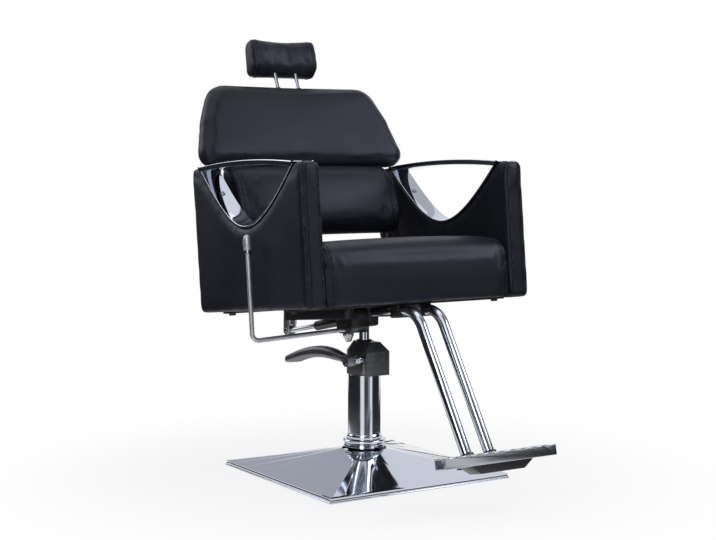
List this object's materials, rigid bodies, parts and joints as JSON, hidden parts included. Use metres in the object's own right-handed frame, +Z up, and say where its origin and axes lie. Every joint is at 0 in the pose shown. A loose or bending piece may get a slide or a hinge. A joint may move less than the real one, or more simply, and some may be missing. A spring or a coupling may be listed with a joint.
{
  "type": "hairdressing chair",
  "caption": "Upholstered salon chair with a hydraulic lift column on a square base, padded open arms, a reclining back, a height-adjustable headrest and a tubular footrest.",
  "frame": {"origin": "on the column's axis, at the underside of the floor plate", "axes": "+Z up along the column, -Y the way the sitter faces, +X to the sitter's left"},
  "size_m": [0.66, 0.993, 1.0829],
  "materials": {
    "leather": "satin",
    "chrome": "polished",
    "steel": "satin",
    "aluminium": "satin",
    "dark_metal": "gloss",
    "black_steel": "satin",
    "black_plastic": "gloss",
    "rubber": "matte",
    "board": "matte"
  },
  "bodies": {
    "base": {"floor_plate": "black_steel", "base_cover": "chrome", "base_collar": "chrome", "pump_tube": "chrome", "pump_cylinder": "steel", "pump_head": "dark_metal", "ram_gland": "rubber", "pump_cover": "black_plastic", "pedal_axle": "chrome"},
    "piston": {"lift_ram": "chrome"},
    "seat": {"ram_socket": "black_steel", "seat_frame": "black_steel", "seat_board": "board", "seat_cushion": "leather", "arm_panel_left": "leather", "arm_panel_right": "leather", "arm_trim_left": "chrome", "arm_trim_right": "chrome", "trim_screw_left": "steel", "trim_screw_right": "steel", "hinge_bracket_left": "black_steel", "hinge_bracket_right": "black_steel", "hinge_pin_left": "steel", "hinge_pin_right": "steel", "footrest_casting": "aluminium", "footrest_clamp": "black_steel", "footrest_tread": "aluminium", "footrest_tube_left": "chrome", "footrest_tube_right": "chrome", "lock_housing": "black_steel", "lock_tube": "black_steel", "tension_nut": "chrome"},
    "pedal": {"pump_pedal": "dark_metal"},
    "backrest": {"back_frame": "black_steel", "upper_back_pad": "leather", "upper_back_board": "board", "lumbar_pad": "leather", "lumbar_board": "board", "post_guide_left": "black_plastic", "post_guide_right": "black_plastic", "recline_yoke": "steel", "yoke_pin": "steel"},
    "headrest": {"headrest_pad": "leather", "headrest_post_left": "chrome", "headrest_post_right": "chrome"},
    "lever": {"lever_rod": "dark_metal", "lever_ferrule": "chrome", "lever_knob": "dark_metal"},
    "lock_rod": {"lock_rod": "steel"}
  },
  "joints": [
    {"name": "lift", "type": "slide", "parent": "base", "child": "piston", "axis": [0, 0, 1], "range_m": [-0.015, 0.13]},
    {"name": "swivel", "type": "hinge", "parent": "piston", "child": "seat", "pos_m": [0, 0, 0.36], "axis": [0, 0, 1], "continuous": true},
    {"name": "pedal_press", "type": "hinge", "parent": "base", "child": "pedal", "pos_m": [-0.072, -0.045, 0.286], "axis": [-1, 0, 0], "range_deg": [0, 18], "stiffness_Nm_per_rad": 4, "springref_deg": -20.05},
    {"name": "recline", "type": "hinge", "parent": "seat", "child": "backrest", "pos_m": [0, 0.248, 0.424], "axis": [-1, 0, 0], "range_deg": [0, 35]},
    {"name": "headrest_slide", "type": "slide", "parent": "backrest", "child": "headrest", "axis": [0, 0.3907, 0.9205], "range_m": [0, 0.075]},
    {"name": "lever_pull", "type": "hinge", "parent": "seat", "child": "lever", "pos_m": [-0.1, -0.05, 0.362], "axis": [-1, 0, 0], "range_deg": [0, 18], "stiffness_Nm_per_rad": 1.5, "springref_deg": -14.32},
    {"name": "lock_slide", "type": "slide", "parent": "seat", "child": "lock_rod", "axis": [0, -0.9816, 0.1908], "range_m": [-0.002, 0.0595]}
  ],
  "couplings": [
    {"joint": "lock_slide", "follows": "recline", "m_per_rad": 0.09353}
  ]
}
